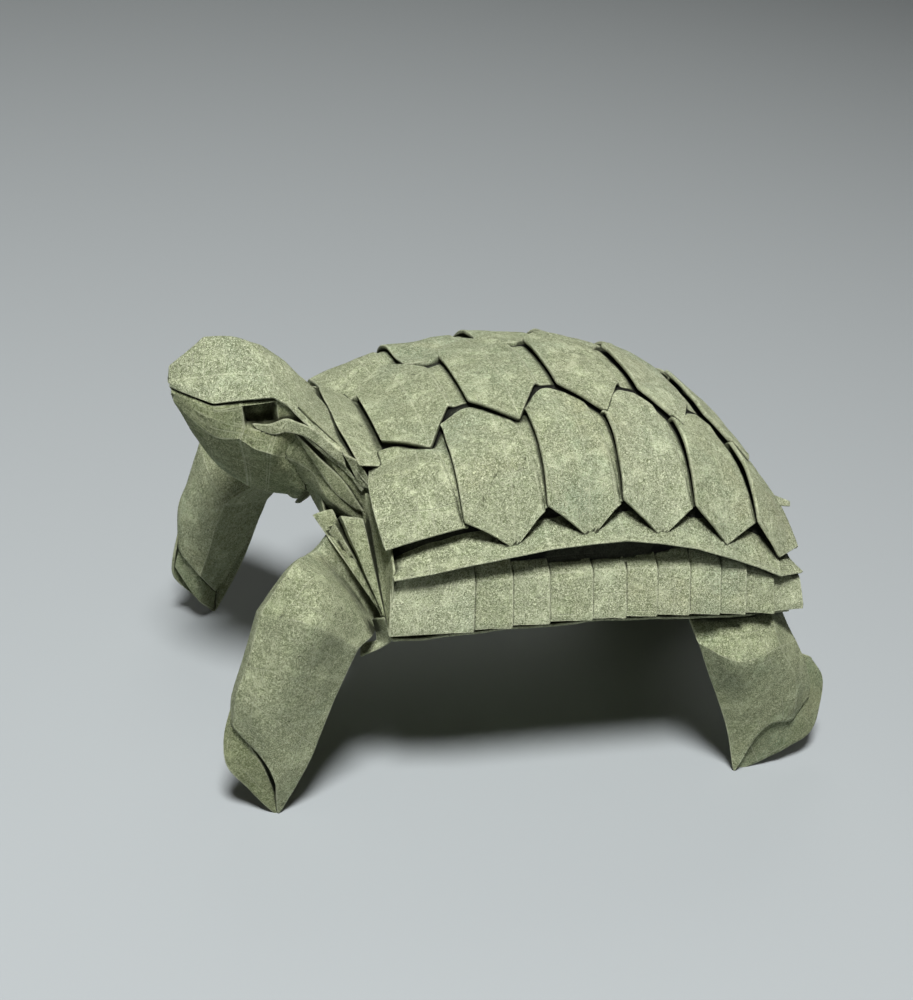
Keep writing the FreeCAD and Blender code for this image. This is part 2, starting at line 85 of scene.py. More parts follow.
def half_width(x):
    """Half width of the rim at station x: a superellipse with its own fullness in front and behind."""
    x = np.asarray(x, float)
    rear = np.maximum(arch(x / PLAN_REAR, PLAN_NR), 0.05)
    return HALF_WIDTH * np.where(x < 0, rear, arch(x / PLAN_FRONT, PLAN_NF))


def ridge(x):
    """Height of the ridge over the rim level."""
    x = np.asarray(x, float)
    return DOME_RISE * arch(x / np.where(x < 0, DOME_REAR, DOME_FRONT), RIDGE_P)


def dome(x, k):
    """Point of the dome at station x and share k of the half width."""
    x, k = np.broadcast_arrays(np.asarray(x, float), np.asarray(k, float))
    return np.stack([x, k * half_width(x), RIM_Z + ridge(x) * arch(k, SECTION_Q)], -1)


def unit(v):
    """The vectors divided by their lengths."""
    return v / np.maximum(np.linalg.norm(v, axis=-1, keepdims=True), 1e-12)


def normal(x, k):
    """Outward normal: cross product of the central differences along x and k."""
    x, k = np.broadcast_arrays(np.asarray(x, float), np.asarray(k, float))
    xa, xb = np.maximum(x - 0.25, -DOME_REAR + 0.01), np.minimum(x + 0.25, DOME_FRONT - 0.01)
    ka, kb = np.maximum(k - 0.012, -0.9995), np.minimum(k + 0.012, 0.9995)
    return unit(np.cross(dome(xb, k) - dome(xa, k), dome(x, kb) - dome(x, ka)))


def over(x, k, h):
    """Point h outside the dome along its normal."""
    return dome(x, k) + normal(x, k) * np.asarray(h, float)[..., None]


def wall_depth(k):
    """Depth of the layered wall under the dome: the inset, and near the rim a share to the eighth power."""
    return INSET + RIM_INSET * np.abs(np.asarray(k, float)) ** 8


def tucked(x, k, extra=0.5):
    """Point inside the layered wall, extra below its outer face."""
    return over(x, k, -wall_depth(k) - extra)


def free_edge(x):
    """Height of the free lower edge of the carapace over the rim band: it falls from the middle by
    the power 1.6 of the distance in front and 1.8 behind."""
    away = np.abs(np.asarray(x, float) - MID_X)
    front = LIFT_TOP - LIFT_FALL_F * (away / LIFT_RUN_F) ** 1.6
    rear = LIFT_TOP - LIFT_FALL_R * np.minimum(away / LIFT_RUN_R, 1.03) ** 1.8
    return np.where(x > MID_X, front, rear)


def band_bottom(x):
    """Height of the band's lower edge: a shallow parabola."""
    away = np.abs(np.asarray(x, float) - MID_X)
    return BAND_BOTTOM + BAND_ARCH * (1.0 - np.minimum(away / BAND_RUN, 1.0) ** 2)


def belly_top(x):
    """Height of the belly's edge: the band's lower edge less a constant gap."""
    return band_bottom(x) - BELLY_GAP


def rim_frame(xs):
    """Plan points of the rim at the stations xs and their outward directions."""
    xs = np.asarray(xs, float)
    p = np.stack([xs, half_width(xs), np.zeros_like(xs)], -1)
    d = np.gradient(p, axis=0)
    n = np.stack([d[:, 1], -d[:, 0], np.zeros_like(xs)], -1)
    return p, unit(n * np.where(n[:, 1:2] < 0, -1.0, 1.0))


# ---- paper sheets --------------------------------------------------
THINNEST = 0.12
LIP_RADIUS, LIP_SHARE = 0.16, 0.45
FINE_WAVE, FINE_SHARE = 0.38, 0.3
MM = 0.001


def through(knots, sharp, step):
    """Curves through the knots along the first axis. Each span is a cubic; its end slopes are the
    chord at a sharp fold and the mean of both chords at a soft knot. Returns the points, their run
    along the curve and their distance to the nearest fold."""
    n = len(knots)
    chord = knots[1:] - knots[:-1]
    length = np.maximum(np.linalg.norm(chord, axis=-1).mean(1), 0.05)
    rate = chord / length[:, None, None]
    folds = [i for i in range(n) if sharp[i] or i in (0, n - 1)]
    run = np.r_[0.0, np.cumsum(length)]

    def slope(i):
        # mean of both chords' slopes, each weighted by the other's length
        return (rate[i] * length[i + 1] + rate[i + 1] * length[i]) / (length[i] + length[i + 1])

    out, pos = [], []
    for i in range(n - 1):
        left = rate[i] if sharp[i] or i == 0 else slope(i - 1)
        right = rate[i] if sharp[i + 1] or i == n - 2 else slope(i)
        m = max(1, int(round(length[i] / step)))
        t = (np.arange(m) if i < n - 2 else np.arange(m + 1)) / m
        t = t[:, None, None]
        h = length[i]
        out.append((2 * t**3 - 3 * t**2 + 1) * knots[i] + (t**3 - 2 * t**2 + t) * h * left
                   + (3 * t**2 - 2 * t**3) * knots[i + 1] + (t**3 - t**2) * h * right)
        pos.append(run[i] + t[:, 0, 0] * h)
    pos = np.concatenate(pos)
    away = np.abs(pos[:, None] - run[folds][None]).min(1)
    return np.concatenate(out), pos, away


def swell(p, seed, wave, amount):
    """Gentle unevenness of the paper: a sum of eight plane waves of random direction and phase, over
    about the root of eight."""
    rng = np.random.default_rng(seed)
    out = np.zeros(p.shape[:-1])
    for _ in range(8):
        k = unit(rng.normal(size=3)) * 2 * math.pi / (wave * rng.uniform(0.7, 1.5))
        out += np.sin(p @ k + rng.uniform(0, 6.28))
    return out * amount / 2.8


def grid_normal(g):
    """Normal of a grid of points: cross product of its central differences."""
    return unit(np.cross(np.gradient(g, axis=0), np.gradient(g, axis=1)))


def paper(grid, thick=0.4, sharp_u=(), sharp_v=(), step=0.6, seed=0, uneven=0.07, wave=7.0, soften=1,
          side=1.0, tone_and_shade=None):
    """One folded sheet as a closed slab. The seen face goes through the control grid, with folds at
    the given rows and columns; the back lies `thick` behind it, and the rim between is rounded.
    `side` turns the seen face round. The sheet's tone is drawn from 0 to 1 when none is given; a value given
    below 0 is painted shade.
    Returns points, quads, UV in millimetres, distance to the nearest fold, and the sheet's tone with its
    painted shade."""
    grid = np.asarray(grid, float)
    nu, nv = grid.shape[:2]
    t = np.broadcast_to(np.asarray(thick, float), (nu, nv))
    full = np.concatenate([grid, t[..., None]], -1)
    full, pu, au = through(full, [i in sharp_u for i in range(nu)], step)
    full, pv, av = through(full.transpose(1, 0, 2), [j in sharp_v for j in range(nv)], step)
    full = full.transpose(1, 0, 2)
    g, t = full[..., :3].copy(), np.maximum(full[..., 3], THINNEST)
    for _ in range(soften):
        g[1:-1] = (g[:-2] + 4 * g[1:-1] + g[2:]) / 6
        g[:, 1:-1] = (g[:, :-2] + 4 * g[:, 1:-1] + g[:, 2:]) / 6
    n = grid_normal(g) * side
    bump = swell(g, seed, wave, uneven) + swell(g, seed + 50, wave * FINE_WAVE, uneven * FINE_SHARE)
    g = g + n * bump[..., None]
    back = g - n * t[..., None]
    fold = np.minimum(au[:, None], av[None, :])
    uv = np.stack(np.meshgrid(pu, pv, indexing="ij"), -1)
    m, w = g.shape[:2]
    ids = np.arange(m * w).reshape(m, w)
    ring = np.concatenate([ids[0, :-1], ids[:-1, -1], ids[-1, :0:-1], ids[:0:-1, 0]])
    inner = np.concatenate([ids[1, :-1], ids[:-1, -2], ids[-2, :0:-1], ids[:0:-1, 1]])
    gf, bf, nf, tf = g.reshape(-1, 3), back.reshape(-1, 3), n.reshape(-1, 3), t.reshape(-1)
    out = gf[ring] - gf[inner]
    out = unit(out - nf[ring] * np.sum(out * nf[ring], -1, keepdims=True))
    r = np.minimum(LIP_RADIUS, tf[ring] * LIP_SHARE)[:, None]
    lips = [gf[ring] - nf[ring] * r * 0.35 + out * r * 0.75, gf[ring] - nf[ring] * r + out * r,
            bf[ring] + nf[ring] * r + out * r]
    pts = np.concatenate([gf, bf] + lips)
    a, b, c, d = ids[:-1, :-1].ravel(), ids[1:, :-1].ravel(), ids[1:, 1:].ravel(), ids[:-1, 1:].ravel()
    quads = [np.stack([a, b, c, d], -1), np.stack([d, c, b, a], -1) + m * w]
    k = len(ring)
    nxt = np.roll(np.arange(k), -1)
    loops = [ring] + [2 * m * w + i * k + np.arange(k) for i in range(len(lips))] + [ring + m * w]
    for p, q in zip(loops, loops[1:]):
        quads.append(np.stack([p, p[nxt], q[nxt], q], -1))
    quads = np.concatenate(quads)
    if signed_volume(pts, quads) < 0:
        quads = quads[:, ::-1]
    uvs = np.concatenate([uv.reshape(-1, 2)] * 2 + [uv.reshape(-1, 2)[ring]] * 3)
    folds = np.concatenate([fold.ravel(), fold.ravel()] + [np.zeros(k)] * 3)
    tone_and_shade = np.random.default_rng(seed + 900).uniform(0, 1) if tone_and_shade is None else tone_and_shade
    return pts, quads, uvs + seed * 3.1, folds, np.full(len(pts), tone_and_shade)


def signed_volume(pts, quads):
    """Six times the volume inside the faces: sum of the triple products of each quad's two triangles."""
    p = pts[quads]
    return (np.einsum("ij,ij->i", p[:, 0], np.cross(p[:, 1], p[:, 2]))
            + np.einsum("ij,ij->i", p[:, 0], np.cross(p[:, 2], p[:, 3]))).sum()


def mirror(sheet):
    """The same sheet on the turtle's right: y changes sign, the faces are turned round and the net of
    creases starts elsewhere."""
    pts, quads, uvs, folds, tone_and_shade = sheet
    return pts * (1, -1, 1), quads[:, ::-1], uvs + (41.0, 17.0), folds, tone_and_shade


def both(sheets):
    """The sheets and their mirror images."""
    return sheets + [mirror(s) for s in sheets]


def make(name, sheets, material):
    """Joins the sheets into one mesh in metres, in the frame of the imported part."""
    offs = np.cumsum([0] + [len(s[0]) for s in sheets])
    pts = (np.concatenate([s[0] for s in sheets]) - (CENTRE_X, 0, 0)) * MM
    quads = np.concatenate([s[1] + o for s, o in zip(sheets, offs)])
    pts[:, 2] = np.maximum(pts[:, 2], 0.0)
    me = bpy.data.meshes.new(name)
    me.from_pydata(pts.tolist(), [], quads.tolist())
    uv = np.concatenate([s[2] for s in sheets])[quads.reshape(-1)]
    layer = me.uv_layers.new(name="sheet_mm")
    layer.data.foreach_set("uv", uv.reshape(-1).astype(np.float32))
    for title, col in (("fold_mm", 3), ("tone_and_shade", 4)):
        att = me.attributes.new(title, "FLOAT", "POINT")
        att.data.foreach_set("value", np.concatenate([s[col] for s in sheets]).astype(np.float32))
    me.polygons.foreach_set("use_smooth", np.ones(len(quads), bool))
    me.set_sharp_from_angle(angle=math.radians(38))
    me.materials.append(bpy.data.materials[material])
    me.update()
    ob = bpy.data.objects.new(name, me)
    bpy.context.collection.objects.link(ob)
    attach(ob, "root")
    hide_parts(NODE)
    return ob


# ---- paper finish --------------------------------------------------
def paper_material(name, look, shade=1.0):
    """Mottled fibrous paper. Cloudy tint from slow noise, fibres from thin level lines of warped noise,
    specks, worn light folds from the distance to a fold, and a faint net of earlier creases in the
    sheet's own millimetres. Painted shade: a sheet's tone below 0, deep folds from the cavity attribute,
    and a `shade` below 1 on every colour."""
    mat = bpy.data.materials.new(name)
    mat.use_nodes = True
    nt = mat.node_tree
    nt.nodes.clear()
    new = nt.nodes.new
    link = nt.links.new

    def node(kind, **values):
        # a node with its settings, and with numbers set on its named sockets
        n = new(kind)
        for key, v in values.items():
            if hasattr(n, key):
                setattr(n, key, v)
            else:
                n.inputs[key.replace("_", " ")].default_value = v
        return n

    def math_(op, a, b=0.0):
        # one sum of two values, each a number or another node's result
        n = node("ShaderNodeMath", operation=op)
        for i, v in enumerate((a, b)):
            if isinstance(v, (int, float)):
                n.inputs[i].default_value = v
            else:
                link(v, n.inputs[i])
        return n.outputs[0]

    def noise(scale, detail=3.0, rough=0.55, warp=0.0):
        # cloudy value from 0 to 1; scale is in clouds a metre
        n = node("ShaderNodeTexNoise", Scale=scale, Detail=detail, Roughness=rough, Distortion=warp)
        link(coord, n.inputs["Vector"])
        return n.outputs["Fac"]

    def ramp(fac, lo, hi, out0=0.0, out1=1.0):
        # smooth step from out0 at lo to out1 at hi
        n = node("ShaderNodeMapRange", interpolation_type="SMOOTHSTEP", From_Min=lo, From_Max=hi, To_Min=out0,
                 To_Max=out1)
        link(fac, n.inputs["Value"])
        return n.outputs["Result"]

    def mix(fac, a, b):
        # colour a with the share fac of colour b
        n = node("ShaderNodeMix", data_type="RGBA", clamp_factor=True)
        for sock, v in ((n.inputs[0], fac), (n.inputs[6], a), (n.inputs[7], b)):
            if isinstance(v, (int, float, tuple)):
                sock.default_value = v
            else:
                link(v, sock)
        return n.outputs[2]

    def tint(c):
        # a colour of the look, darkened by the shade factor; below 1 it is painted shade
        return tuple(v * shade for v in c) + (1.0,)

    def lay(col, fac, strength, c):
        # colour c laid over col by the share fac times the strength
        return mix(math_("MULTIPLY", fac, strength), col, tint(c))

    coord = new("ShaderNodeTexCoord").outputs["Object"]
    tone_and_shade = node("ShaderNodeAttribute", attribute_name="tone_and_shade").outputs["Fac"]
    fold = node("ShaderNodeAttribute", attribute_name="fold_mm").outputs["Fac"]

    # cloudy tint
    cloud = ramp(noise(170, 4, 0.65, 0.4), 0.3, 0.7)
    patch = ramp(noise(52, 3, 0.55, 0.3), 0.45, 0.72)
    warm = ramp(noise(61, 3, 0.6, 0.6), 0.5, 0.75)
    col = mix(cloud, tint(look.base), tint(look.light))
    col = lay(col, patch, 0.8, look.teal)
    col = lay(col, warm, 0.75, look.olive)
    # fibre mottling
    mott = noise(2300, 5, 0.85, 1.6)
    col = mix(ramp(mott, 0.44, 0.56), mix(0.85, col, tint(look.dark)), mix(0.5, col, tint(look.fibre)))
    f1 = math_("ABSOLUTE", math_("SUBTRACT", noise(1000, 2, 0.5, 2.4), 0.5))
    f2 = math_("ABSOLUTE", math_("SUBTRACT", noise(1150, 2, 0.5, 2.8), 0.47))
    lines = math_("MULTIPLY", ramp(f1, 0.0, 0.06, 1, 0), ramp(noise(330, 2), 0.3, 0.5))
    dark_lines = math_("MULTIPLY", ramp(f2, 0.0, 0.06, 1, 0), ramp(noise(290, 2, 0.5, 0.5), 0.3, 0.5))
    col = lay(col, lines, 0.9, look.fibre)
    col = lay(col, dark_lines, 0.95, look.dark)
    speck = math_("GREATER_THAN", noise(760, 1, 0.4), 0.775)
    col = lay(col, speck, 0.6, look.speck)
    # each sheet's tone: brighter and a little greyer as it rises; set below 0 it is painted shade, darker and
    # more saturated
    bright = math_("ADD", math_("MULTIPLY", tone_and_shade, 0.14), 1.02)
    hs = new("ShaderNodeHueSaturation")
    link(bright, hs.inputs["Value"])
    link(math_("ADD", math_("MULTIPLY", tone_and_shade, -0.1), 1.08), hs.inputs["Saturation"])
    link(col, hs.inputs["Color"])
    col = hs.outputs["Color"]
    # worn folds
    rub = ramp(noise(260, 4, 0.7), 0.36, 0.6)
    worn = math_("MULTIPLY", ramp(fold, 0.02, look.fold_width, 1, 0),
                 math_("ADD", math_("MULTIPLY", rub, 0.75), 0.2))
    col = lay(col, worn, look.fold_wear, look.fibre)
    # net of earlier creases
    uvn = node("ShaderNodeUVMap", uv_map="sheet_mm")
    sep = new("ShaderNodeSeparateXYZ")
    link(uvn.outputs["UV"], sep.inputs[0])
    shift = math_("MULTIPLY", math_("SUBTRACT", noise(260, 2, 0.5), 0.5), 0.2)
    creases = 0.0
    for gap, strong in ((look.crease_gap, 1.0), (look.crease_gap / 2, 0.3)):
        for axis, off in ((0, 0.0), (1, 2.1)):
            u = math_("ADD", math_("ADD", sep.outputs[axis], shift), off)
            d = math_("SUBTRACT", gap / 2, math_("PINGPONG", u, gap / 2))
            creases = math_("MAXIMUM", creases, math_("MULTIPLY", ramp(d, 0.02, 0.13, 1, 0), strong))
    creases = math_("MULTIPLY", creases, ramp(noise(120, 3, 0.6, 0.5), 0.42, 0.64))
    col = lay(col, creases, look.crease_wear, look.fibre)
    # painted shade deep in the folds, darker where short rays from a point meet paper
    deep = ramp(node("ShaderNodeAttribute", attribute_name="cavity").outputs["Fac"], 0.11, 0.54)
    col = lay(col, deep, look.depth, look.deep)

    # relief: light fibres stand up, dark fibres and creases lie lower
    height = math_("MULTIPLY", math_("SUBTRACT", lines, dark_lines), 0.3)
    height = math_("ADD", math_("MULTIPLY", mott, 0.5), height)
    height = math_("ADD", height, math_("MULTIPLY", creases, -0.5))
    height = math_("ADD", height, math_("MULTIPLY", noise(1500, 3, 0.7), 0.35))
    bump = node("ShaderNodeBump", Strength=1.0, Distance=0.0003)
    link(height, bump.inputs["Height"])

    bsdf = node("ShaderNodeBsdfPrincipled", Roughness=0.82, Specular_IOR_Level=0.28)
    link(col, bsdf.inputs["Base Color"])
    link(bump.outputs["Normal"], bsdf.inputs["Normal"])
    out = new("ShaderNodeOutputMaterial")
    link(bsdf.outputs[0], out.inputs[0])
    return mat


# ---- nets over named spans -----------------------------------------
def net(rows, x, y, z):
    """Percent of a named span, of a half width and of a height, turned to millimetres: each column is
    a start plus its share of the way to an end."""
    share = np.asarray(rows, float) / 100
    lo, hi = np.array([x[0], 0.0, z[0]]), np.array([x[1], y, z[1]])
    return lo + (hi - lo) * share


def shell_edge():
    """Level of the carapace at its front end."""
    return RIM_Z + float(ridge(SHELL_FRONT))


def head_net(rows):
    """Net from the shell's edge to the nose, over the head's half width, from the edge to the crown."""
    return net(rows, (SHELL_FRONT, NOSE_X), HEAD_HALF, (shell_edge(), CROWN_Z))


def chest_net(rows):
    """Net over the chest's reach, the rim's half width, and the height from belly to shell edge."""
    return net(rows, (SHELL_FRONT, SHELL_FRONT + CHEST_REACH), float(half_width(SHELL_FRONT)),
               (BAND_BOTTOM, shell_edge()))


def front_net(rows):
    """Net over the front legs' reach, the rim's half width, and the height of the band."""
    return net(rows, (SHELL_FRONT, SHELL_FRONT + FRONT_REACH), HALF_WIDTH, (0.0, BAND_BOTTOM))


def hind_net(rows):
    """Net over the hind legs' reach, the rim's half width, and the height of the band."""
    return net(rows, (SHELL_REAR, SHELL_REAR - HIND_REACH), HALF_WIDTH, (0.0, BAND_BOTTOM))


def across(half):
    """Rows from the left edge over the middle to the right edge."""
    return np.concatenate([half, half[:, -2::-1] * (1, -1, 1)], 1)


# ---- shell ---------------------------------------------------------
def vertebral_edge(x):
    """Half width share of the middle row at station x: straight runs between front fold, side
    corner and rear crease of each scute."""
    kf, kt, kr = VERTEBRAL_K
    xs, ks = [60.0], [kf]
    for a, b in zip(VERTEBRAL_FRONTS, VERTEBRAL_FRONTS[1:]):
        xs += [a, a + (b - a) * VERTEBRAL_TIP, a + (b - a) * REAR_CREASE]
        ks += [kf, kt, kr]
    xs.append(VERTEBRAL_FRONTS[-1])
    ks.append(kf)
    return np.interp(-np.asarray(x, float), -np.array(xs), ks)


def vertebral(i, lift, hem, ply):
    """Hexagonal scute: width and lift are piecewise along its length, the front fold raised and the sides
    thicker as hems.
    Behind the rear crease the sheet drops under the next scute and ends inside the wall."""
    a, b = VERTEBRAL_FRONTS[i], VERTEBRAL_FRONTS[i + 1]
    kf, kt, kr = VERTEBRAL_K
    tip, last = VERTEBRAL_TIP, i == len(VERTEBRAL_FRONTS) - 2
    # along the scute: share of its length, half width, height over the dome, thickness
    s = np.array([0.0, 0.2, tip, 0.6, REAR_CREASE, REAR_CREASE + 0.05, 1.0, 1.06])
    hw = np.array([kf, kf + 0.47 * (kt - kf), kt, kr + 0.52 * (kt - kr), kr, kr, kr, kr])
    h = np.array([lift, 0.42, 0.42, 0.24, 0.1, -0.45, -0.75, -INSET - 0.5])
    t = np.array([hem, hem, hem, hem * 0.8, 0.6, ply, ply, ply])
    if last:
        s, hw, h, t = s[:-1], hw[:-1], h[:-1], t[:-1]
    v = np.array([-1, -0.52, 0, 0.52, 1.0])
    grid = over((a + (b - a) * s)[:, None], hw[:, None] * v, h[:, None] + 0 * v)
    thick = np.where(np.abs(v) > 0.9, t[:, None], np.minimum(t[:, None], 0.6))
    thick[0] = hem * 0.8
    return paper(grid, thick, sharp_u=(0, 2, 4, 5), sharp_v=(), seed=20 + i, step=0.5, uneven=0.05)


def costal_tip(i):
    """Share of a side scute's length at which its lower corner lies."""
    return 0.59 - 0.035 * (i - 1)


def collar(ply):
    """Front strip of the shell: from under the first scute forward to its free edge over the neck."""
    edge = across(head_net([((8, 149, 9), (12, 106, 21), (14, 53, 25), (14, 0, 26))]))[0]
    k = np.array((0.42, 0.3, 0.15, 0, -0.15, -0.3, -0.42))
    lifted = over(VERTEBRAL_FRONTS[0] + 0.6, k, -0.35 + 0 * k)
    return paper(np.stack([edge, (edge + lifted) / 2, lifted, tucked(VERTEBRAL_FRONTS[0] - 1.0, k, 0.3)]), ply,
                 sharp_u=(2,), seed=31)


def bulge(x, k):
    """Swelling of the side scutes: half a sine wave over the share k, higher toward the front."""
    amp = np.interp(x, (-8.0, 32.0), (0.7, 3.8))
    u = (np.abs(k) - 0.46) / 0.46
    return np.where((u > 0) & (u < 1), amp * np.sin(math.pi * np.clip(u, 0, 1)), 0.0)


def costal(i, lift, hem, ply):
    """Side scute: arched top below the middle row, raised front fold, V-shaped lower edge. The share
    k runs from the arched top (t = 0) to the lower edge (t = 1); before t = 0 the sheet turns in.
    Behind the rear crease a narrow strip drops under the next scute."""
    a, b = COSTAL_FRONTS[i], COSTAL_FRONTS[i + 1]
    tip, last = costal_tip(i), i == len(COSTAL_FRONTS) - 2
    # along the scute: share of its length at the top and at the lower edge, height over the dome
    s0 = np.array([0.0, 0.34, 0.58, REAR_CREASE, REAR_CREASE + 0.05, 1.0, 1.05])
    s1 = np.array([0.0, 0.3, tip, 0.93, 0.96, 1.01, 1.04])
    h = np.array([lift, 0.28, 0.1, 0.1, -0.4, -0.75, -INSET - 0.5])
    if last:
        s0, s1, h = s0[:-1], s1[:-1], h[:-1]
    low = np.interp(s1, (0, tip, 1.01), (COSTAL_VALLEY, COSTAL_TIP, COSTAL_VALLEY))
    if i == 0:
        low = low * 0 + COSTAL_VALLEY + 0.012
    t = np.array([-0.025, 0.0, 0.2, 0.45, 0.72, 1.0])
    x = a + (b - a) * (s0[:, None] + (s1 - s0)[:, None] * np.maximum(t, 0))
    kf, kt, kr = VERTEBRAL_K
    top = vertebral_edge(x)
    top = top + TOP_GAP * np.interp(top, (kr, kf, kt), (1.0, 0.8, 0.25))
    k = top + (low[:, None] - top) * t
    height = h[:, None] + np.array([-2.1, -0.1, 0, 0, 0, 0.3]) + bulge(x, k)
    if not last:
        height[-1] = -wall_depth(k[-1]) - 0.3
    height[:, 0] = np.minimum(height[:, 0], -1.6)
    thick = np.full(k.shape, ply)
    thick[0] = hem * 0.8
    thick[:, -1] = 0.65
    thick[:, 0] = ply
    return paper(over(x, k, height), thick, sharp_u=(0, 2, 3, 4), sharp_v=(1,), seed=40 + i, step=0.5,
                 uneven=0.06)


def marginal(ply):
    """Strip under the side scutes; its lower edge stands free over the rim band."""
    f = COSTAL_FRONTS
    xs = [SHELL_FRONT - 0.1, 30.4]
    for i in range(1, len(f) - 1):
        xs += [f[i], f[i] + (f[i + 1] - f[i]) * costal_tip(i)]
    xs = np.array(xs + [SHELL_REAR])
    p, n = rim_frame(xs)
    ripple = 0.1 * np.where(np.arange(len(xs)) % 2, 1.0, -1.0)
    low = np.stack([p[:, 0], p[:, 1], free_edge(xs)], -1) + n * (ripple - 0.1)[:, None]
    grid = np.stack([tucked(xs, 0.775, 0.3), over(xs, 0.825, -1.75 + ripple * 0.5),
                     over(xs, 0.885, -1.25 + ripple), low], 1)
    return paper(grid, ply + 0.05, sharp_u=range(len(xs)), sharp_v=(), seed=61, uneven=0.05)


def wall_at(x, z):
    """Point inside the layered wall at station x and level z, found by halving the share k."""
    lo, hi = np.full(np.shape(x), 0.5), np.full(np.shape(x), 0.995)
    for _ in range(30):
        mid = (lo + hi) / 2
        above = tucked(x, mid)[..., 2] > z
        lo, hi = np.where(above, mid, lo), np.where(above, hi, mid)
    return tucked(x, lo)


def rim_band(step, ply):
    """Pleats of the rim band: each panel's rear end stands out over the next one. The upper row leans
    in by a share that grows evenly with the height of the free edge over the band."""
    seams = np.array(BAND_SEAMS)
    p, n = rim_frame(seams)
    low, edge = band_bottom(seams), free_edge(seams)
    lean = np.clip((edge - low - LEAN_START) / LEAN_RISE, 0, 1)
    brow = np.minimum(low + BAND_CREASE + BAND_UPPER, edge - 0.3) - 2.1 * lean
    crease = np.minimum(low + BAND_CREASE, brow - 0.8)
    top = wall_at(seams, brow + 0.4)
    sheets = []
    for i in range(len(seams) - 1):
        rows = []
        for j, shift, out in ((i, BAND_LAP, -step / 2), (i + 1, -BAND_LAP, step / 2)):
            q = p[j] + (shift, 0, 0) + n[j] * out
            rows.append([top[j] + (shift * 0.3, 0, 0),
                         q - n[j] * (1.9 + 3.3 * lean[j] + out * 0.8) - (shift * 0.5, 0, -brow[j]),
                         q - n[j] * (1.5 + 0.5 * lean[j]) + (0, 0, crease[j]),
                         q + n[j] * 1.1 + (0, 0, low[j]), q - n[j] * 1.3 + (0, 0, low[j] + 0.7)])
        sheets.append(paper(rows, ply, sharp_u=(0, 1), sharp_v=(1, 2, 3), seed=70 + i, uneven=0.05, wave=5))
    return sheets


def layered_wall():
    """Layers behind the scutes, in paper darkened as painted shade: the dome drawn in by the inset, down to
    the belly.
    """
    x = np.linspace(SHELL_FRONT - 0.5, SHELL_REAR + 0.4, 19)
    k = np.array([-0.995, -0.955, -0.885, -0.79, -0.665, -0.505, -0.32, -0.11])
    k = np.r_[k, -k[::-1]]
    g = over(x[:, None], k, np.broadcast_to(-wall_depth(k), (19, 16)))
    foot = g[:, [0, -1]].copy()
    foot[..., 2] = belly_top(x)[:, None] - 0.35
    g = np.concatenate([foot[:, :1], g, foot[:, 1:]], 1)
    return paper(g, 0.9, seed=5, step=1.6, uneven=0.0)


def belly_flap():
    """Lower layer from under the band to the slot along the middle."""
    xs = np.array([SHELL_FRONT - 1.1, 29.3, 19.4, 8.1, -4.7, -17.3, -28.4, SHELL_REAR + 0.2])
    p, n = rim_frame(xs)
    edge = np.stack([p[:, 0], p[:, 1], belly_top(xs)], -1) - n * 1.2
    mid = np.stack([edge[:, 0], 0 * xs + BELLY_SEAM, 0 * xs + BAND_BOTTOM - BELLY_GAP - 1.1], -1)
    grid = np.stack([edge, edge + (mid - edge) * 0.17 - (0, 0, 0.2),
                     edge + (mid - edge) * 0.55 - (0, 0, 0.3), mid], 1)
    return paper(grid, 0.6, sharp_v=(1,), seed=66, uneven=0.12, wave=12, side=-1.0)


def rear_panel():
    """Folded panel that closes the rear of the shell behind the hind legs."""
    x = SHELL_REAR + 3.1
    k = np.linspace(-0.97, 0.97, 9)
    a = tucked(np.full(9, x), k, 0.42)
    b = np.stack([0 * k + x - 1.4, k / 0.97 * (half_width(x) - INSET - RIM_INSET - 0.45),
                  0 * k + belly_top(x) - 0.45], -1)
    zig = np.where(np.arange(9) % 2, 0.35, -0.35)[:, None] * np.array([1.0, 0, 0])
    grid = np.stack([a, (a + b) / 2 + zig, b])
    return paper(grid, 0.6, sharp_v=range(9), seed=67, side=1.0)


def tail(ply):
    """Pointed roof-shaped fold from inside the rear panel to the tail's tip."""
    neck = SHELL_REAR + (TAIL_X - SHELL_REAR) * 0.31
    rows = ((SHELL_REAR + 3.8, 4.2, 7.4, 9.6), (neck, 3.0, 5.0, 7.0), (TAIL_X, 0.5, 2.4, 3.2))
    half = np.array([((x, w, BAND_BOTTOM + low), (x, 0, BAND_BOTTOM + top)) for x, w, low, top in rows])
    return paper(across(half), ply + 0.1, sharp_v=(1,), seed=68, uneven=0.03)


# ---- head and neck -------------------------------------------------
# from the nose back to the root: lower edge, fold of the crown, middle of the crown
HOOD = np.array((
    ((100, 8, 54), (100, 8, 60), (100, 0, 73)), ((92, 40, 55), (92, 19, 65), (91, 0, 87)),
    ((81, 69, 53), (84, 31, 69), (83, 0, 100)), ((66, 91, 62), (68, 48, 76), (67, 0, 99)),
    ((52, 99, 66), (50, 60, 76), (53, 0, 90)), ((44, 105, 59), (42, 67, 63), (39, 0, 72)),
    ((33, 113, 40), (31, 81, 44), (28, 0, 51)), ((23, 121, 26), (22, 96, 27), (21, 0, 35)),
    ((13, 131, 12), (13, 98, 15), (13, 0, 21)), ((3, 140, -11), (2, 106, -3), (1, 0, 1)),
    ((-9, 148, -32), (-9, 106, -19), (-9, 0, -15))))
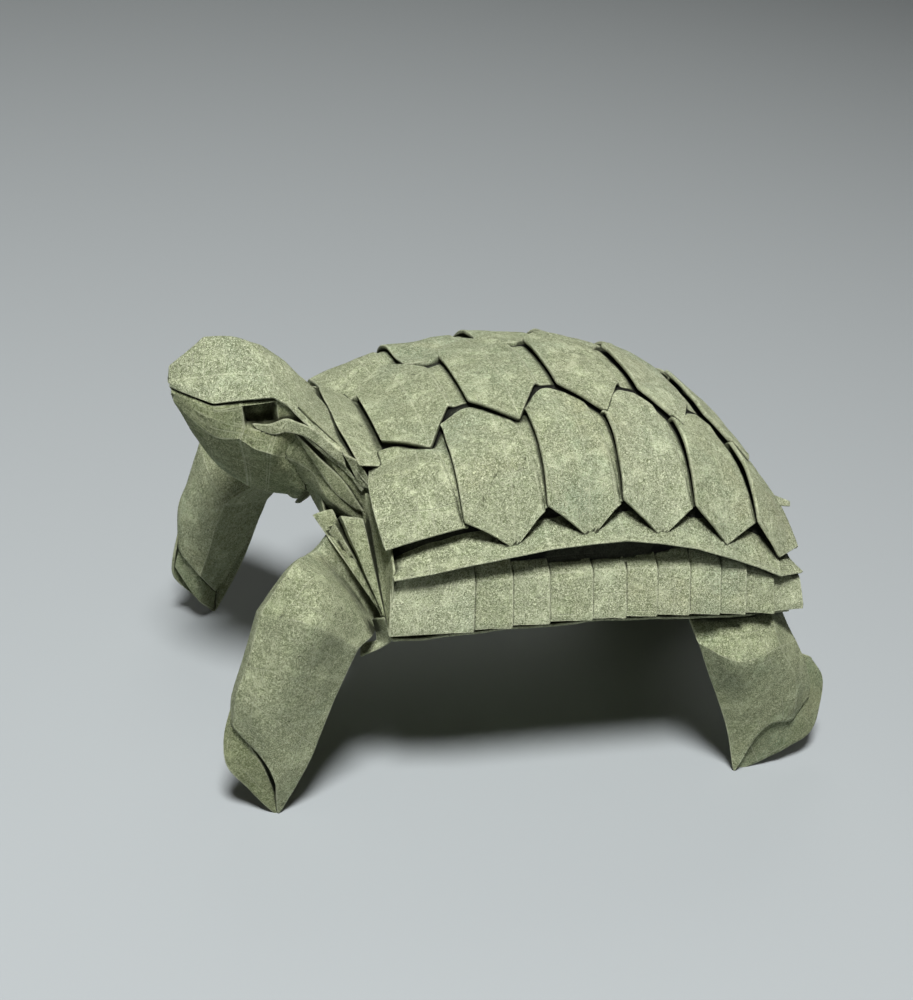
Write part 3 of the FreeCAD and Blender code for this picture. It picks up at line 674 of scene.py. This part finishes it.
# from the nose back: top and bottom of the eye's fold, lower edge of the cheek, side, keel
JAW = np.array((
    ((99, 12, 49), (98, 13, 46), (98, 12, 41), (97, 7, 37), (95, 0, 32)),
    ((91, 42, 49), (91, 43, 43), (90, 40, 30), (88, 26, 14), (86, 0, 3)),
    ((81, 70, 46), (81, 72, 38), (79, 67, 19), (76, 44, -6), (73, 0, -29)),
    ((68, 88, 54), (66, 88, 33), (68, 92, 23), (62, 58, -14), (57, 8, -50)),
    ((58, 92, 57), (56, 92, 30), (60, 97, 14), (55, 64, -20), (52, 16, -51)),
    ((49, 96, 60), (47, 94, 33), (51, 102, 9), (49, 70, -22), (47, 24, -52)),
    ((46, 99, 58), (41, 98, 41), (45, 90, 3), (39, 72, -24), (33, 43, -51)),
    ((37, 99, 48), (34, 100, 34), (36, 83, 5), (32, 70, -24), (28, 48, -46))))
EYE_DEPTH = 2.6
EYE_ROWS = np.array((0, 1, 2, 3, 3.1, 3.32, 4, 4.72, 4.9, 5, 6, 7))
# folds over the side of the neck, from the front back: upper and lower edge
EYELID = np.array((
    ((61, 88, 36), (59, 90, 32)), ((53, 98, 37), (51, 98, 28)), ((45, 105, 44), (44, 105, 32)),
    ((40, 110, 42), (37, 111, 30)), ((32, 115, 37), (30, 115, 23)), ((24, 122, 26), (23, 120, 13)),
    ((16, 129, 15), (14, 127, 1))))
NECK_FLAP = np.array((
    ((16, 132, 15), (9, 142, 10)), ((12, 133, 4), (4, 142, -3)), ((8, 133, -10), (1, 142, -13)),
    ((5, 133, -19), (1, 141, -18))))
NECK_LAYER = np.array((
    ((37, 109, 31), (35, 107, 26)), ((25, 116, 14), (24, 114, 9)), ((14, 124, 0), (13, 122, -6)),
    ((4, 134, -21), (5, 132, -23))))
NECK_LEAF = np.array((
    ((39, 98, 27), (38, 96, 23)), ((28, 110, 7), (28, 103, -3)), ((14, 120, -16), (18, 113, -27)),
    ((3, 129, -45), (6, 122, -46))))
NECK_SIDE = np.array((
    ((38, 98, 55), (39, 94, 27), (44, 87, 2), (33, 43, -46)),
    ((27, 108, 36), (27, 98, 4), (28, 90, -15), (28, 58, -43)),
    ((15, 119, 16), (18, 110, -28), (21, 102, -37), (23, 77, -43)),
    ((4, 129, -9), (9, 117, -41), (13, 112, -48), (18, 91, -53)),
    ((-8, 138, -27), (-6, 131, -57), (-3, 123, -67), (1, 106, -72))))
# tops of the chest's pleats, from the throat to the shell, and the knot they all run to
PLEATS = np.array((
    (91, 34, 53), (61, 40, 63), (50, 37, 50), (60, 55, 68), (26, 63, 72), (17, 58, 62), (20, 53, 87),
    (7, 63, 88), (-1, 84, 66), (-1, 96, 53)))
KNOT = np.array((-1, 95, 3))
# each row: outer rear edge, outer fold, front outer fold, front face, inner front edge, inner rear
FRONT_LEG = np.array((
    ((-3, 75, 101), (11, 64, 118), (26, 46, 134), (24, 38, 127), (19, 33, 116), (4, 62, 102)),
    ((-1, 74, 94), (15, 61, 109), (31, 41, 121), (32, 35, 116), (25, 32, 108), (8, 66, 95)),
    ((9, 87, 94), (45, 95, 126), (66, 81, 132), (61, 64, 122), (48, 49, 109), (24, 76, 92)),
    ((20, 96, 94), (65, 109, 119), (88, 91, 113), (85, 74, 105), (75, 56, 92), (33, 85, 78)),
    ((34, 96, 65), (76, 107, 91), (95, 94, 88), (94, 80, 81), (80, 62, 72), (44, 87, 55)),
    ((49, 97, 29), (83, 104, 58), (102, 95, 69), (101, 83, 63), (82, 70, 53), (57, 90, 31)),
    ((67, 98, -1), (79, 101, 33), (102, 93, 52), (102, 84, 49), (86, 76, 36), (69, 93, 15))))
FRONT_FOOT = np.array((
    ((97, 90, 71), (98, 92, 50), (92, 94, 43), (81, 98, 30), (69, 97, 9)),
    ((100, 88, 69), (106, 88, 40), (105, 91, 30), (88, 94, 14), (68, 97, -2))))
INNER_FOOT = np.array((
    ((68, 93, 30), (85, 79, 48), (99, 86, 66)),
    ((69, 95, 1), (87, 82, 18), (105, 89, 37))))
HIND_LEG = np.array((
    ((-101, 89, 93), (-60, 94, 96), (-24, 93, 96), (-5, 78, 93), (-10, 58, 92)),
    ((-97, 99, 84), (-68, 112, 80), (-21, 106, 83), (13, 89, 75), (14, 67, 68)),
    ((-74, 99, 57), (-49, 108, 58), (8, 101, 58), (30, 88, 58), (31, 70, 52)),
    ((-50, 99, 29), (-31, 105, 42), (15, 100, 43), (38, 89, 48), (40, 72, 42)),
    ((-33, 99, -1), (-17, 103, 28), (18, 98, 30), (41, 89, 39), (47, 75, 34))))
HIND_FOOT = np.array((
    ((-33, 97, 11), (-16, 101, 33), (18, 96, 35), (37, 87, 41), (37, 83, 50), (31, 81, 60)),
    ((-30, 97, -3), (22, 96, 10), (51, 90, 16), (61, 83, 27), (61, 80, 42), (42, 80, 57))))


def head_hood(ply):
    """Upper layer of neck and head: an open fold from inside the shell to the nose."""
    half = head_net(HOOD)
    low, fold, crown = half[:, 0], half[:, 1], half[:, 2]
    bent = low + (fold - low) * 0.55 + (0, 0.4, 0.2)
    return paper(across(np.stack([low, bent, fold, crown], 1)), ply, sharp_u=(2, 4, 5), sharp_v=(0, 2, 4, 6),
                 seed=80, step=0.5, uneven=0.05)


def lower_jaw(ply):
    """Trough under the hood. More rows and columns are set in along the straight lines between those of
    the net, and the inner ones are pressed in for the eye."""
    p = head_net(JAW)
    i = np.minimum(EYE_ROWS.astype(int), len(p) - 2)
    p = p[i] + (p[i + 1] - p[i]) * (EYE_ROWS - i)[:, None, None]
    top, low, cheek, side, keel = p.transpose(1, 0, 2)
    upper, lower = top + (low - top) * 0.12, top + (low - top) * 0.88
    upper[5:8, 1] -= EYE_DEPTH
    lower[5:8, 1] -= EYE_DEPTH
    half = np.stack([top + (0, -0.5, 0.6), top, upper, lower, low, cheek, side, keel], 1)
    # the jaw's tone of -1.9 is painted shade under the head: darker and more saturated
    return paper(across(half), ply, sharp_u=(3, 4, 5, 7, 8), sharp_v=(1, 2, 3, 4, 5, 9, 10, 11, 12, 13),
                 seed=83, step=0.4, uneven=0.03, soften=0, side=-1.0, tone_and_shade=-1.9)


def neck_folds(ply):
    """Folds laid over the side of the neck: eyelid, rounded flap, thin layer and leaf."""
    # the leaf's tone of -1.0 is painted shade under the head
    return [paper(head_net(rows), ply, seed=seed, step=0.4, uneven=0.03, side=side, tone_and_shade=tone_and_shade)
            for rows, seed, side, tone_and_shade in ((EYELID, 85, -1.0, None), (NECK_FLAP, 84, 1.0, None),
                                           (NECK_LAYER, 81, -1.0, None), (NECK_LEAF, 82, -1.0, -1.0))]


def neck_side(ply):
    """Side of the neck from the jaw to inside the shell."""
    # its tone of -1.3 is painted shade under the head
    return paper(head_net(NECK_SIDE), ply, sharp_v=(1, 2), seed=86, step=0.5, side=-1.0, tone_and_shade=-1.3)


def chest(ply):
    """Pleated fan: every pleat runs from its top to one knot."""
    tops = chest_net(PLEATS)
    j = np.arange(len(tops))[:, None] - (len(tops) - 1) / 2
    knot = chest_net(KNOT) + j * (0, 0.22, -0.08)
    grid = np.stack([knot + (tops - knot) * t for t in (0.03, 0.4, 0.7, 1.0)])
    # its tone of -0.6 is painted shade under the head and shell
    return paper(grid, ply, sharp_v=range(len(tops)), seed=87, step=0.5, uneven=0.05, side=-1.0, tone_and_shade=-0.6)


def throat(ply):
    """Lower layer from the jaw down to the belly, between the two fans."""
    rows = chest_net((((74, 24, 66), (74, 0, 66)), ((66, 32, 48), (62, 0, 46)), ((44, 52, 22), (44, 0, 20)),
                      ((0, 70, -1), (0, 0, -5)), ((-36, 80, -10), (-40, 0, -17))))
    a, c = rows[:, 0], rows[:, 1]
    # its tone of -1.5 is painted shade under the jaw
    return paper(across(np.stack([a, (a + c) / 2 + (0.5, 0, 0.1), c], 1)), ply, sharp_v=(2,), seed=88,
                 side=-1.0, tone_and_shade=-1.5)


def knot_flap(ply):
    """Small flap from the belly's edge over the knot, free at its end."""
    rows = (((1, 93, 9), (11, 82, -3)), ((-15, 93, -13), (0, 82, -23)), ((27, 84, -36), (23, 78, -31)))
    return paper(chest_net(rows), ply, seed=89, step=0.5)


def front_leg(ply):
    """Leg sheet, and the outer and inner layers of the foot that show beyond its edge."""
    # the tones below 0 are painted shade on the leg and on the down-facing layers of the foot
    return [paper(front_net(FRONT_LEG), ply, sharp_u=(3,), sharp_v=(2, 4), seed=90, uneven=0.12, wave=10,
                  side=-1.0, tone_and_shade=-0.1),
            paper(front_net(FRONT_FOOT), ply, seed=91, uneven=0.05, wave=6, tone_and_shade=-1.9),
            paper(front_net(INNER_FOOT), ply, seed=92, uneven=0.05, wave=6, tone_and_shade=-0.9)]


def hind_leg(ply):
    """Leg sheet, and the rounded layer of the foot."""
    # the tones below 0 are painted shade on the leg and on the down-facing layer of the foot
    return [paper(hind_net(HIND_LEG), ply, sharp_u=(1,), sharp_v=(2, 3), seed=93, uneven=0.12, wave=10,
                  tone_and_shade=-0.6),
            paper(hind_net(HIND_FOOT), ply, seed=94, uneven=0.05, wave=6, tone_and_shade=-1.4)]


# ---- shade in the folds --------------------------------------------
def shade_cavities(meshes, reach=0.008, rays=30):
    """Stores for each point the share of short rays over its own half space that meet paper, each
    weighted by its cosine and by one minus its run over the reach. The rays lie on a golden spiral."""
    turn = math.pi * (3 - math.sqrt(5)) * np.arange(rays)
    z = 1 - (2 * np.arange(rays) + 1) / rays
    flat = np.sqrt(1 - z * z)
    dirs = np.stack([flat * np.cos(turn), flat * np.sin(turn), z], -1)

    def read(items, what, wide, kind=float):
        # one value of every point or face, as rows
        out = np.empty(len(items) * wide, kind)
        items.foreach_get(what, out)
        return out.reshape(-1, wide)

    points, normals, faces, total = [], [], [], 0
    for me in meshes:
        points.append(read(me.vertices, "co", 3))
        normals.append(read(me.vertices, "normal", 3))
        faces.append(read(me.polygons, "vertices", 4, int) + total)
        total += len(me.vertices)
    points, normals = np.concatenate(points), np.concatenate(normals)
    tree = BVHTree.FromPolygons(points.tolist(), np.concatenate(faces).tolist())
    cosine = normals @ dirs.T
    start = [Vector(p) for p in (points + normals * 0.06 * MM).tolist()]
    hit, full = np.zeros(total), np.zeros(total)
    for j, d in enumerate(dirs):
        seen = np.flatnonzero(cosine[:, j] > 0.2)
        ray = Vector(d)
        run = [tree.ray_cast(start[i], ray, reach)[3] for i in seen.tolist()]
        near = np.array([1.0 if r is None else r / reach for r in run])
        hit[seen] += (1 - near) * cosine[seen, j]
        full[seen] += cosine[seen, j]
    share = hit / np.maximum(full, 1e-6)
    at = 0
    for me in meshes:
        att = me.attributes.new("cavity", "FLOAT", "POINT")
        att.data.foreach_set("value", share[at:at + len(me.vertices)].astype(np.float32))
        at += len(me.vertices)


# ---- settings ------------------------------------------------------
def colour(name, text, value):
    """A colour setting for the panel."""
    return bpy.props.FloatVectorProperty(name=name, description=text, default=value, size=3, min=0, max=1,
                                         subtype="COLOR")


def amount(name, text, value, low, high, **kind):
    """A length, share or strength for the panel."""
    return bpy.props.FloatProperty(name=name, description=text, default=value, min=low, max=high, **kind)


class TurtleFolds(bpy.types.PropertyGroup):
    """Measures of the shell's folds"""
    edge_lift: amount("Fold lift", "How far a raised fold stands over the dome, mm", 0.5, 0.0, 2.0)
    hem: amount("Hem", "Thickness of a raised folded edge, mm", 0.95, 0.2, 2.0)
    ply: amount("Ply", "Thickness of one folded layer, mm", 0.38, 0.1, 1.0)
    band_step: amount("Band step", "Step of one pleat of the rim band, mm", 0.9, 0.0, 2.0)


class TurtlePaper(bpy.types.PropertyGroup):
    """Colours and wear of the paper"""
    base: colour("Base", "Grey green of the sheet", (0.34, 0.39, 0.245))
    light: colour("Light", "Lighter clouds", (0.42, 0.465, 0.30))
    teal: colour("Cool", "Cool patches", (0.25, 0.36, 0.27))
    olive: colour("Warm", "Warm patches", (0.43, 0.405, 0.24))
    fibre: colour("Fibre", "Light fibres and worn folds", (0.62, 0.65, 0.45))
    dark: colour("Dark", "Dark fibres", (0.14, 0.165, 0.08))
    speck: colour("Speck", "Dark specks", (0.07, 0.075, 0.04))
    deep: colour("Deep", "Shade deep in the folds", (0.022, 0.026, 0.010))
    depth: amount("Fold shade", "Strength of the shade deep in the folds", 0.9, 0.0, 1.0, subtype="FACTOR")
    fold_width: amount("Fold wear width", "Width of the worn line at a fold, mm", 0.24, 0.05, 2.0)
    fold_wear: amount("Fold wear", "Strength of the wear at the folds", 0.55, 0.0, 1.0, subtype="FACTOR")
    crease_gap: amount("Crease net", "Spacing of the earlier creases, mm", 6.4, 1.0, 20.0)
    crease_wear: amount("Crease wear", "Strength of the earlier creases", 0.6, 0.0, 1.0, subtype="FACTOR")


class TurtleStage(bpy.types.PropertyGroup):
    """Floor and light"""
    floor: colour("Floor", "Pale studio floor", (0.35, 0.375, 0.385))
    key: amount("Key light", "Power of the large soft light", 11.6, 0.0, 1000.0, unit="POWER")
    fill: amount("Fill", "Strength of the even light all round", 0.025, 0.0, 10.0)


# ---- operators -----------------------------------------------------
class PieceOperator:
    """What the piece operators share: each makes the pieces that its `sheets` names."""
    bl_options = {"REGISTER", "UNDO"}
    finish = "mottled_paper"

    def execute(self, context):
        f = context.scene.turtle_folds
        for name, sheets in self.sheets(f).items():
            made = make(name, sheets, self.finish)
            if not made.data.polygons:
                raise RuntimeError(name + " has no faces")
        return {"FINISHED"}


class TURTLE_OT_paper(bpy.types.Operator):
    """Make the mottled paper finish"""
    bl_idname = "turtle.paper"
    bl_label = "Paper finish"

    def execute(self, context):
        look = context.scene.turtle_paper
        paper_material("mottled_paper", look)
        # the same paper at a tenth of its brightness for the inner layers: painted shade
        paper_material("shaded_paper", look, 0.1)
        return {"FINISHED"}


class TURTLE_OT_shell(PieceOperator, bpy.types.Operator):
    """Make the scutes of the carapace"""
    bl_idname = "turtle.shell"
    bl_label = "Scutes"

    def sheets(self, f):
        middle = [vertebral(i, f.edge_lift, f.hem, f.ply) for i in range(len(VERTEBRAL_FRONTS) - 1)]
        flank = [costal(i, f.edge_lift, f.hem, f.ply) for i in range(len(COSTAL_FRONTS) - 1)]
        return {"vertebral_scutes": middle + [collar(f.ply)], "costal_scutes": both(flank),
                "marginal_scutes": both([marginal(f.ply)])}


class TURTLE_OT_wall(PieceOperator, bpy.types.Operator):
    """Make the shaded layers behind the scutes"""
    bl_idname = "turtle.wall"
    bl_label = "Inner layers"
    # the inner layers take the darkened paper: painted shade
    finish = "shaded_paper"

    def sheets(self, f):
        return {"layered_wall": [layered_wall()]}


class TURTLE_OT_rim(PieceOperator, bpy.types.Operator):
    """Make the rim band, the belly and the rear"""
    bl_idname = "turtle.rim"
    bl_label = "Rim and belly"

    def sheets(self, f):
        return {"rim_band": both(rim_band(f.band_step, f.ply)), "belly": both([belly_flap()]),
                "rear_panel": [rear_panel()], "tail": [tail(f.ply)]}


class TURTLE_OT_head(PieceOperator, bpy.types.Operator):
    """Make the head, the neck and the pleated chest"""
    bl_idname = "turtle.head"
    bl_label = "Head and neck"

    def sheets(self, f):
        return {"head_hood": [head_hood(FLAP_PLY)], "lower_jaw": [lower_jaw(FLAP_PLY)],
                "neck_folds": both(neck_folds(f.ply)), "neck_sides": both([neck_side(FLAP_PLY)]),
                "chest_pleats": both([chest(f.ply)]), "throat": [throat(FLAP_PLY)],
                "knot_flaps": both([knot_flap(f.ply)])}


class TURTLE_OT_legs(PieceOperator, bpy.types.Operator):
    """Make the four folded legs"""
    bl_idname = "turtle.legs"
    bl_label = "Legs"

    def sheets(self, f):
        return {"front_legs": both(front_leg(LEG_PLY)), "hind_legs": both(hind_leg(LEG_PLY))}


class TURTLE_OT_cavity(bpy.types.Operator):
    """Find how deep each point lies between the folds"""
    bl_idname = "turtle.cavity"
    bl_label = "Fold shade"

    def execute(self, context):
        pieces = [ob for ob in context.scene.objects if ob.type == "MESH" and "sheet_mm" in ob.data.uv_layers]
        if not pieces:
            raise RuntimeError("no paper pieces to shade")
        shade_cavities([ob.data for ob in pieces])
        return {"FINISHED"}


MIDDLE = Vector((0, 0, 0.04))
CAMERA_PLACE = (0.1029, 0.2659, 0.1911)
CAMERA_TURN = (19.66, 27.84, -6.89)


class TURTLE_OT_stage(bpy.types.Operator):
    """Make the floor, the soft light and the camera"""
    bl_idname = "turtle.stage"
    bl_label = "Stage"

    def execute(self, context):
        s = context.scene.turtle_stage
        # seamless floor: flat, then a quarter circle up to a backdrop on the far side of the turtle
        flat_end, radius = -0.9, 0.6
        arc = np.linspace(0, math.pi / 2, 25)[1:]
        away = np.r_[2.0, flat_end, flat_end - radius * np.sin(arc), flat_end - radius]
        high = np.r_[0.0, 0.0, radius - radius * np.cos(arc), 2.5]
        wide = np.array([-3.0, 3.0])
        turn = math.radians(20)
        pts = np.stack([(wide[:, None] * math.cos(turn) + away * math.sin(turn)),
                        (-wide[:, None] * math.sin(turn) + away * math.cos(turn)),
                        np.broadcast_to(high, (2, len(away)))], -1).reshape(-1, 3)
        m = len(away)
        a = np.arange(m - 1)
        quads = np.stack([a, a + 1, a + 1 + m, a + m], -1)
        me = bpy.data.meshes.new("floor")
        me.from_pydata(pts.tolist(), [], quads.tolist())
        me.polygons.foreach_set("use_smooth", np.ones(len(quads), bool))
        mat = bpy.data.materials.new("studio_floor")
        mat.use_nodes = True
        b = mat.node_tree.nodes["Principled BSDF"]
        b.inputs["Base Color"].default_value = tuple(s.floor) + (1,)
        b.inputs["Roughness"].default_value = 0.9
        b.inputs["Specular IOR Level"].default_value = 0.1
        me.materials.append(mat)
        me.update()
        if me.polygons[0].normal.z < 0:
            me.flip_normals()
        floor = bpy.data.objects.new("floor", me)
        context.collection.objects.link(floor)

        def area(name, place, size, power, colour=(1, 1, 1)):
            # round soft light turned to the middle of the turtle
            data = bpy.data.lights.new(name, "AREA")
            data.shape, data.size, data.energy, data.color = "DISK", size, power, colour
            ob = bpy.data.objects.new(name, data)
            ob.location = place
            ob.rotation_euler = (MIDDLE - Vector(place)).to_track_quat("-Z", "Y").to_euler()
            context.collection.objects.link(ob)

        area("key", (0.16, 0.34, 0.80), 0.22, s.key)
        area("front_soft", (0.15, 0.75, 0.34), 0.4, s.key * 0.012, (1.0, 0.9, 0.66))
        area("back_soft", (-0.15, -0.6, 0.7), 0.5, s.key * 0.08, (1.0, 0.98, 0.92))
        world = bpy.data.worlds.new("studio")
        world.use_nodes = True
        bg = world.node_tree.nodes["Background"]
        bg.inputs["Color"].default_value = (1.0, 0.94, 0.74, 1)
        bg.inputs["Strength"].default_value = s.fill
        context.scene.world = world
        context.scene.view_settings.view_transform = "Standard"

        cam = bpy.data.cameras.new("camera")
        cam.sensor_width = cam.sensor_height = 36.0
        cam.sensor_fit = "VERTICAL"
        cam.lens = 62.1
        cam.clip_start, cam.clip_end = 0.02, 20
        ob = bpy.data.objects.new("camera", cam)
        look, up = camera_axes()
        right = look.cross(up).normalized()
        rot = Matrix((right, up, -look)).transposed()
        ob.matrix_world = Matrix.Translation(CAMERA_PLACE) @ rot.to_4x4()
        context.collection.objects.link(ob)
        context.scene.camera = ob
        return {"FINISHED"}


def camera_axes():
    """View direction and up direction from the heading, elevation and roll of the camera."""
    head, elev, roll = (math.radians(v) for v in CAMERA_TURN)
    look = Vector((-math.sin(head) * math.cos(elev), -math.cos(head) * math.cos(elev), -math.sin(elev)))
    right = look.cross(Vector((0, 0, 1))).normalized()
    up = right.cross(look)
    return look, (up * math.cos(roll) + right * math.sin(roll)).normalized()


class TURTLE_PT_panel(bpy.types.Panel):
    """Sizes, colours and pieces of the folded turtle"""
    bl_label = "Folded paper turtle"
    bl_idname = "TURTLE_PT_panel"
    bl_space_type = "VIEW_3D"
    bl_region_type = "UI"
    bl_category = "Paper turtle"

    def draw(self, context):
        for group in (context.scene.turtle_folds, context.scene.turtle_paper, context.scene.turtle_stage):
            for name in group.__annotations__:
                self.layout.prop(group, name)
        for op in STEPS:
            self.layout.operator(op.bl_idname)


STEPS = (TURTLE_OT_stage, TURTLE_OT_paper, TURTLE_OT_wall, TURTLE_OT_shell, TURTLE_OT_rim, TURTLE_OT_head,
         TURTLE_OT_legs, TURTLE_OT_cavity)
CLASSES = (TurtleFolds, TurtlePaper, TurtleStage, *STEPS, TURTLE_PT_panel)


def register():
    """Adds the classes and the three groups of settings."""
    for c in CLASSES:
        bpy.utils.register_class(c)
    bpy.types.Scene.turtle_folds = bpy.props.PointerProperty(type=TurtleFolds)
    bpy.types.Scene.turtle_paper = bpy.props.PointerProperty(type=TurtlePaper)
    bpy.types.Scene.turtle_stage = bpy.props.PointerProperty(type=TurtleStage)


def unregister():
    """Takes them out again."""
    del bpy.types.Scene.turtle_folds, bpy.types.Scene.turtle_paper, bpy.types.Scene.turtle_stage
    for c in reversed(CLASSES):
        bpy.utils.unregister_class(c)


def main():
    """Makes every piece through its operator."""
    register()
    for op in STEPS:
        getattr(bpy.ops.turtle, op.bl_idname.split(".")[1])()


if __name__ == "__main__":
    main()
